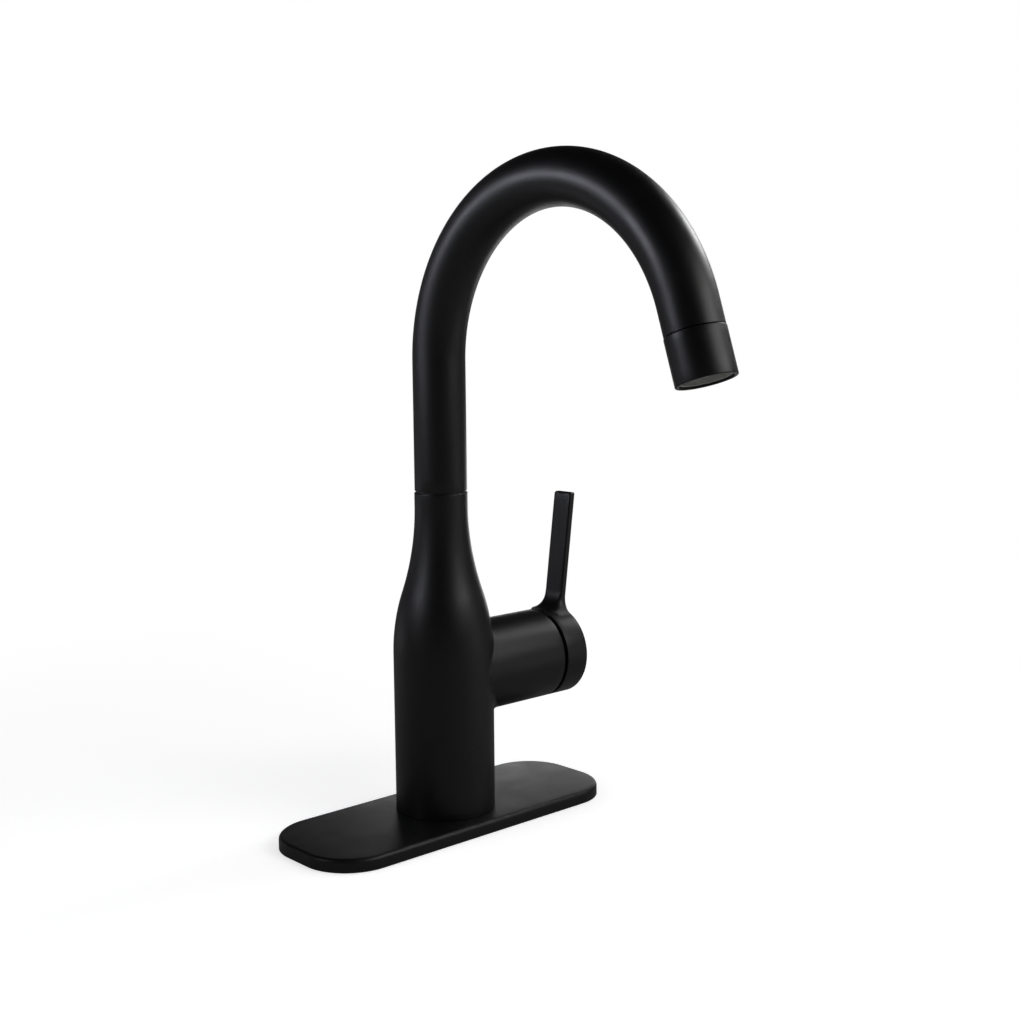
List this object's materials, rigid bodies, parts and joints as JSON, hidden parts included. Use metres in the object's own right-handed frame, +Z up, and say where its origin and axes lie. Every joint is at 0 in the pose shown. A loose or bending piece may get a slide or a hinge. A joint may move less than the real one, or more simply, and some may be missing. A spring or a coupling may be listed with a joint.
{
  "type": "gooseneck bar faucet",
  "caption": "Bar faucet with a swivelling gooseneck spout on a bottle-shaped body, a side lever that mixes hot and cold, an oblong deck plate and the clamp under the deck.",
  "frame": {"origin": "on the body's axis at the deck plane, the underside of the deck plate's gasket", "axes": "+Z up along the body's axis; +X along the deck plate, towards the handle; the spout points to -Y at rest"},
  "size_m": [0.165, 0.1971, 0.3501],
  "materials": {
    "powder_coat": "satin black powder coat",
    "brass": "machined",
    "steel": "zinc-coated",
    "stainless": "brushed",
    "rubber": "moulded",
    "black_plastic": "moulded, matte",
    "grey_plastic": "moulded, matte",
    "white_plastic": "moulded, satin",
    "blue_plastic": "moulded, satin",
    "glide_plastic": "moulded, satin",
    "disc_ceramic": "lapped"
  },
  "bodies": {
    "faucet": {"deck_plate": "powder_coat", "deck_plate_gasket": "rubber", "faucet_body": "powder_coat", "body_base_o_ring": "rubber", "inlet_manifold": "brass", "mounting_shank": "brass", "spout_thrust_washer": "black_plastic", "spout_retaining_ring": "stainless", "cartridge_housing": "white_plastic", "cartridge_base": "white_plastic", "cartridge_base_seals": "rubber", "fixed_ceramic_disc": "disc_ceramic", "cartridge_retaining_nut": "brass", "handle_trim_ring": "black_plastic"},
    "spout": {"gooseneck_tube": "powder_coat", "spout_spigot": "brass", "upper_spout_o_ring": "rubber", "lower_spout_o_ring": "rubber", "upper_glide_ring": "glide_plastic", "lower_glide_ring": "glide_plastic", "spout_tip_insert": "brass", "tip_o_ring": "rubber", "aerator_housing": "powder_coat", "aerator_gasket": "rubber", "aerator_screen": "stainless", "flow_regulator": "blue_plastic", "aerator_face": "grey_plastic"},
    "temperature_rotor": {"stem_rotor": "black_plastic", "rotor_o_ring": "rubber", "stem_pivot_pin": "stainless"},
    "valve_disc": {"moving_ceramic_disc": "disc_ceramic", "disc_driver": "black_plastic"},
    "handle": {"cartridge_stem": "brass", "lever_handle": "powder_coat", "handle_set_screw": "steel", "set_screw_plug": "black_plastic"},
    "deck_clamp": {"rubber_deck_washer": "rubber", "steel_deck_washer": "steel", "mounting_nut": "brass"}
  },
  "joints": [
    {"name": "spout_swivel", "type": "hinge", "parent": "faucet", "child": "spout", "pos_m": [0, 0, 0.1526], "axis": [0, 0, 1], "continuous": true},
    {"name": "handle_turn", "type": "hinge", "parent": "faucet", "child": "temperature_rotor", "pos_m": [0.0336, 0, 0.0691], "axis": [1, 0, 0], "range_deg": [-45, 45]},
    {"name": "handle_tilt", "type": "hinge", "parent": "temperature_rotor", "child": "handle", "pos_m": [0.0336, 0, 0.0691], "axis": [0, 1, 0], "range_deg": [0, 20]},
    {"name": "disc_slide", "type": "slide", "parent": "temperature_rotor", "child": "valve_disc", "axis": [0, 0, 1], "range_m": [0, 0.003]},
    {"name": "clamp_slide", "type": "slide", "parent": "faucet", "child": "deck_clamp", "axis": [0, 0, 1], "range_m": [-0.075, 0.0135]}
  ],
  "couplings": [
    {"joint": "disc_slide", "follows": "handle_tilt", "m_per_rad": 0.0085}
  ]
}
